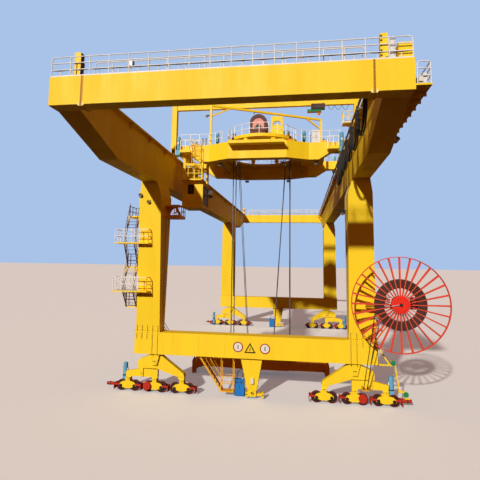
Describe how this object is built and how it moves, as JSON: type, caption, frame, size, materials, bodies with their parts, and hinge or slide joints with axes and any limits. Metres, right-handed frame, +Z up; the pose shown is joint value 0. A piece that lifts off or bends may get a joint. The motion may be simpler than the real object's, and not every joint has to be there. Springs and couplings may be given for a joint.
{
  "type": "double girder gantry crane, 1:2 scale model",
  "caption": "Portal crane with two box girders on four legs, wheeled end trucks, a slewing trolley with cab and a long low spreader, and a cable reel.",
  "frame": {"origin": "centre of the bounding box in plan, at the foot of the wheel flanges", "axes": "+Y along the girders from the front (cab and reel) end to the rear, +X along the runway rails to the reel side, +Z up"},
  "size_m": [12.58, 31.524, 12.92],
  "materials": {
    "crane_yellow": "satin enamel",
    "undercarriage_brown": "dark primer",
    "wheel_steel": "dark cast steel",
    "guard_red": "satin enamel",
    "motor_blue": "satin enamel",
    "rail_white": "galvanised and painted",
    "reel_red": "satin enamel",
    "hoist_green": "satin enamel",
    "hood_brown": "satin enamel",
    "cabinet_white": "powder coat",
    "rail_steel": "rolled rail",
    "rope_dark": "greased wire rope",
    "cable_black": "sheathed flat cable",
    "cab_glass": "tinted glass"
  },
  "bodies": {
    "gantry": {"left_girder": "crane_yellow", "right_girder": "crane_yellow", "end_beams": "crane_yellow", "trolley_track": "rail_steel", "girder_railings": "rail_white", "walkway": "crane_yellow", "front_left_leg": "crane_yellow", "front_right_leg": "crane_yellow", "rear_left_leg": "crane_yellow", "rear_right_leg": "crane_yellow", "front_sill": "crane_yellow", "rear_sill": "crane_yellow", "main_equalisers": "crane_yellow", "second_equalisers": "undercarriage_brown", "bogie_frames": "undercarriage_brown", "travel_motors": "motor_blue", "wheel_guards": "guard_red", "portal_frame": "crane_yellow", "reel_stand": "crane_yellow", "cable_guide": "crane_yellow", "stairs": "crane_yellow", "leg_ladder": "rail_white", "rail_clamps": "crane_yellow", "power_packs": "motor_blue", "festoon_track": "rail_steel", "festoon_cables": "cable_black"},
    "trolley": {"front_cross_beam": "crane_yellow", "rear_cross_beam": "crane_yellow", "ring_deck": "crane_yellow", "end_carriages": "crane_yellow", "trolley_drives": "motor_blue", "trolley_cabinet": "cabinet_white", "trolley_railings": "rail_white", "cable_arch": "crane_yellow", "cab": "crane_yellow", "cab_glazing": "cab_glass", "cab_hanger": "crane_yellow"},
    "front_trolley_axle": {"front_trolley_wheels": "wheel_steel"},
    "rear_trolley_axle": {"rear_trolley_wheels": "wheel_steel"},
    "slewing_hoist": {"slewing_deck": "crane_yellow", "deck_railing": "rail_white", "rope_drum": "hood_brown", "hoist_frame": "crane_yellow", "hoist_ropes": "rope_dark"},
    "spreader": {"spreader_frame": "crane_yellow", "spreader_arms": "crane_yellow"},
    "small_hoist": {"service_hoist": "hoist_green"},
    "reel": {"cable_reel": "reel_red"},
    "wheels_01_axle": {"wheels_01": "wheel_steel"},
    "wheels_02_axle": {"wheels_02": "wheel_steel"},
    "wheels_03_axle": {"wheels_03": "wheel_steel"},
    "wheels_04_axle": {"wheels_04": "wheel_steel"},
    "wheels_05_axle": {"wheels_05": "wheel_steel"},
    "wheels_06_axle": {"wheels_06": "wheel_steel"},
    "wheels_07_axle": {"wheels_07": "wheel_steel"},
    "wheels_08_axle": {"wheels_08": "wheel_steel"},
    "wheels_09_axle": {"wheels_09": "wheel_steel"},
    "wheels_10_axle": {"wheels_10": "wheel_steel"},
    "wheels_11_axle": {"wheels_11": "wheel_steel"},
    "wheels_12_axle": {"wheels_12": "wheel_steel"}
  },
  "joints": [
    {"name": "trolley_travel", "type": "slide", "parent": "gantry", "child": "trolley", "axis": [0, 1, 0], "range_m": [-2.2, 12.9]},
    {"name": "front_trolley_wheels_roll", "type": "hinge", "parent": "trolley", "child": "front_trolley_axle", "pos_m": [-0.57, -7.15, 9.805], "axis": [1, 0, 0], "continuous": true},
    {"name": "rear_trolley_wheels_roll", "type": "hinge", "parent": "trolley", "child": "rear_trolley_axle", "pos_m": [-0.57, -3.25, 9.805], "axis": [1, 0, 0], "continuous": true},
    {"name": "slewing", "type": "hinge", "parent": "trolley", "child": "slewing_hoist", "pos_m": [-0.57, -5.2, 10.64], "axis": [0, 0, 1], "range_deg": [-180, 180]},
    {"name": "hoist", "type": "slide", "parent": "slewing_hoist", "child": "spreader", "axis": [0, 0, 1], "range_m": [0, 6.2], "deforming": ["hoist_ropes"]},
    {"name": "service_hoist_travel", "type": "slide", "parent": "gantry", "child": "small_hoist", "axis": [1, 0, 0], "range_m": [-5, 0.6]},
    {"name": "cable_reel_turn", "type": "hinge", "parent": "gantry", "child": "reel", "pos_m": [4.65, -9.72, 3.67], "axis": [0, 1, 0], "continuous": true},
    {"name": "wheels_01_roll", "type": "hinge", "parent": "gantry", "child": "wheels_01_axle", "pos_m": [-5.68, 0, 0.205], "axis": [0, 1, 0], "continuous": true},
    {"name": "wheels_02_roll", "type": "hinge", "parent": "gantry", "child": "wheels_02_axle", "pos_m": [-5.138, 0, 0.205], "axis": [0, 1, 0], "continuous": true},
    {"name": "wheels_03_roll", "type": "hinge", "parent": "gantry", "child": "wheels_03_axle", "pos_m": [-4.596, 0, 0.205], "axis": [0, 1, 0], "continuous": true},
    {"name": "wheels_04_roll", "type": "hinge", "parent": "gantry", "child": "wheels_04_axle", "pos_m": [-4.054, 0, 0.205], "axis": [0, 1, 0], "continuous": true},
    {"name": "wheels_05_roll", "type": "hinge", "parent": "gantry", "child": "wheels_05_axle", "pos_m": [-3.512, 0, 0.205], "axis": [0, 1, 0], "continuous": true},
    {"name": "wheels_06_roll", "type": "hinge", "parent": "gantry", "child": "wheels_06_axle", "pos_m": [-2.97, 0, 0.205], "axis": [0, 1, 0], "continuous": true},
    {"name": "wheels_07_roll", "type": "hinge", "parent": "gantry", "child": "wheels_07_axle", "pos_m": [1.83, 0, 0.205], "axis": [0, 1, 0], "continuous": true},
    {"name": "wheels_08_roll", "type": "hinge", "parent": "gantry", "child": "wheels_08_axle", "pos_m": [2.372, 0, 0.205], "axis": [0, 1, 0], "continuous": true},
    {"name": "wheels_09_roll", "type": "hinge", "parent": "gantry", "child": "wheels_09_axle", "pos_m": [2.914, 0, 0.205], "axis": [0, 1, 0], "continuous": true},
    {"name": "wheels_10_roll", "type": "hinge", "parent": "gantry", "child": "wheels_10_axle", "pos_m": [3.456, 0, 0.205], "axis": [0, 1, 0], "continuous": true},
    {"name": "wheels_11_roll", "type": "hinge", "parent": "gantry", "child": "wheels_11_axle", "pos_m": [3.998, 0, 0.205], "axis": [0, 1, 0], "continuous": true},
    {"name": "wheels_12_roll", "type": "hinge", "parent": "gantry", "child": "wheels_12_axle", "pos_m": [4.54, 0, 0.205], "axis": [0, 1, 0], "continuous": true}
  ],
  "couplings": [
    {"joint": "front_trolley_wheels_roll", "follows": "trolley_travel", "rad_per_m": -6.25},
    {"joint": "rear_trolley_wheels_roll", "follows": "trolley_travel", "rad_per_m": -6.25},
    {"joint": "wheels_02_roll", "follows": "wheels_01_roll", "ratio": 1},
    {"joint": "wheels_03_roll", "follows": "wheels_01_roll", "ratio": 1},
    {"joint": "wheels_04_roll", "follows": "wheels_01_roll", "ratio": 1},
    {"joint": "wheels_05_roll", "follows": "wheels_01_roll", "ratio": 1},
    {"joint": "wheels_06_roll", "follows": "wheels_01_roll", "ratio": 1},
    {"joint": "wheels_07_roll", "follows": "wheels_01_roll", "ratio": 1},
    {"joint": "wheels_08_roll", "follows": "wheels_01_roll", "ratio": 1},
    {"joint": "wheels_09_roll", "follows": "wheels_01_roll", "ratio": 1},
    {"joint": "wheels_10_roll", "follows": "wheels_01_roll", "ratio": 1},
    {"joint": "wheels_11_roll", "follows": "wheels_01_roll", "ratio": 1},
    {"joint": "wheels_12_roll", "follows": "wheels_01_roll", "ratio": 1}
  ]
}
